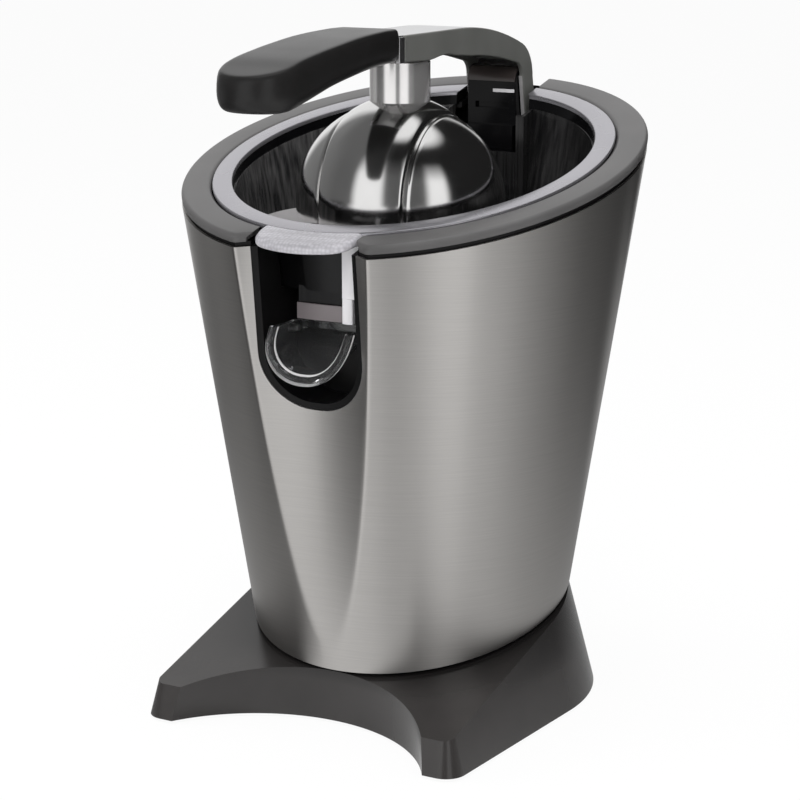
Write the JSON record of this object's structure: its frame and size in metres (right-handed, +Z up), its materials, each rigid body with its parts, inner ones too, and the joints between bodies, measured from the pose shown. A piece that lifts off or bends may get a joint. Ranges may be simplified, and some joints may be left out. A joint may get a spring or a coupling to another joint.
{
  "type": "electric lever citrus juicer",
  "caption": "Electric citrus juicer: flared steel body on an arched pedestal, lever with a press dome over a bowl, tip-up clear spout and motor-driven reamer.",
  "frame": {"origin": "centre of the overall box's footprint on the table, level with the underside of the rubber pads", "axes": "+Z up, -Y towards the spout and the grip at the front, +X to the right seen from the front"},
  "size_m": [0.2164, 0.2554, 0.3162],
  "materials": {
    "brushed_steel": "upright brushed",
    "polished_steel": "polished",
    "base_grey": "fine satin",
    "ring_grey": "matte",
    "silver_plastic": "silver satin",
    "silver_plate": "fine brushed",
    "arm_paint": "satin",
    "handle_black": "satin",
    "black_gloss": "gloss",
    "black_plastic": "matte",
    "clear_plastic": "clear gloss",
    "rubber": "matte",
    "plain_steel": "plain",
    "gear_plastic": "satin",
    "bronze": "plain",
    "motor_iron": "plain"
  },
  "bodies": {
    "housing": {"steel_shell": "brushed_steel", "strainer": "polished_steel", "base_foot": "base_grey", "top_ring": "ring_grey", "bowl_rim": "silver_plastic", "recess_liner": "black_gloss", "hinge_tower": "black_gloss", "inner_tub": "black_gloss", "juice_bowl": "black_gloss", "base_cover": "black_plastic", "neck_collar": "black_plastic", "gearbox_case": "black_plastic", "gearbox_cover": "black_plastic", "start_switch": "black_plastic", "terminal_block": "black_plastic", "foot_pads": "rubber", "ring_gasket": "rubber", "shaft_seal": "rubber", "cord_gland": "rubber", "base_screws": "plain_steel", "spout_pins": "plain_steel", "tower_screws": "plain_steel", "hinge_pin": "plain_steel", "idler_axle": "plain_steel", "gearbox_screws": "plain_steel", "motor_can": "plain_steel", "shaft_bush": "bronze", "motor_magnets": "motor_iron"},
    "lever": {"lever_arm": "arm_paint", "arm_top_plate": "silver_plate", "handle_tang": "plain_steel", "handle_grip": "handle_black", "handle_screws": "plain_steel", "press_stem": "polished_steel", "dome_shell": "polished_steel", "press_cup": "black_gloss", "dome_nut": "plain_steel"},
    "spout": {"drip_spout": "clear_plastic"},
    "rotor": {"motor_rotor": "motor_iron", "motor_pinion": "bronze", "cooling_fan": "black_plastic"},
    "idler": {"idler_gear": "gear_plastic"},
    "gear": {"output_gear": "gear_plastic", "return_spring": "plain_steel"},
    "reamer": {"reamer_cone": "polished_steel", "drive_shaft": "plain_steel"},
    "plunger": {"switch_plunger": "black_plastic"}
  },
  "joints": [
    {"name": "lever_hinge", "type": "hinge", "parent": "housing", "child": "lever", "pos_m": [0, 0.10666, 0.283], "axis": [-1, 0, 0], "range_deg": [0, 78]},
    {"name": "spout_tip", "type": "hinge", "parent": "housing", "child": "spout", "pos_m": [0, -0.05237, 0.184], "axis": [-1, 0, 0], "range_deg": [0, 40]},
    {"name": "motor_spin", "type": "hinge", "parent": "housing", "child": "rotor", "pos_m": [0.02375, 0.03145, 0.13], "axis": [0, 0, 1], "continuous": true},
    {"name": "idler_spin", "type": "hinge", "parent": "housing", "child": "idler", "pos_m": [0, 0.05138, 0.17], "axis": [0, 0, 1], "continuous": true},
    {"name": "reamer_spin", "type": "hinge", "parent": "housing", "child": "gear", "pos_m": [0, 0.00763, 0.177], "axis": [0, 0, 1], "continuous": true},
    {"name": "reamer_press", "type": "slide", "parent": "gear", "child": "reamer", "axis": [0, 0, -1], "range_m": [0, 0.0025], "stiffness_N_per_m": 4000, "springref_m": -0.002, "deforming": ["return_spring"]},
    {"name": "switch_press", "type": "slide", "parent": "housing", "child": "plunger", "axis": [0, 0, -1], "range_m": [0, 0.0025]}
  ],
  "couplings": [
    {"joint": "idler_spin", "follows": "motor_spin", "ratio": -0.24},
    {"joint": "reamer_spin", "follows": "motor_spin", "ratio": 0.06},
    {"joint": "switch_press", "follows": "reamer_press", "ratio": 1}
  ]
}
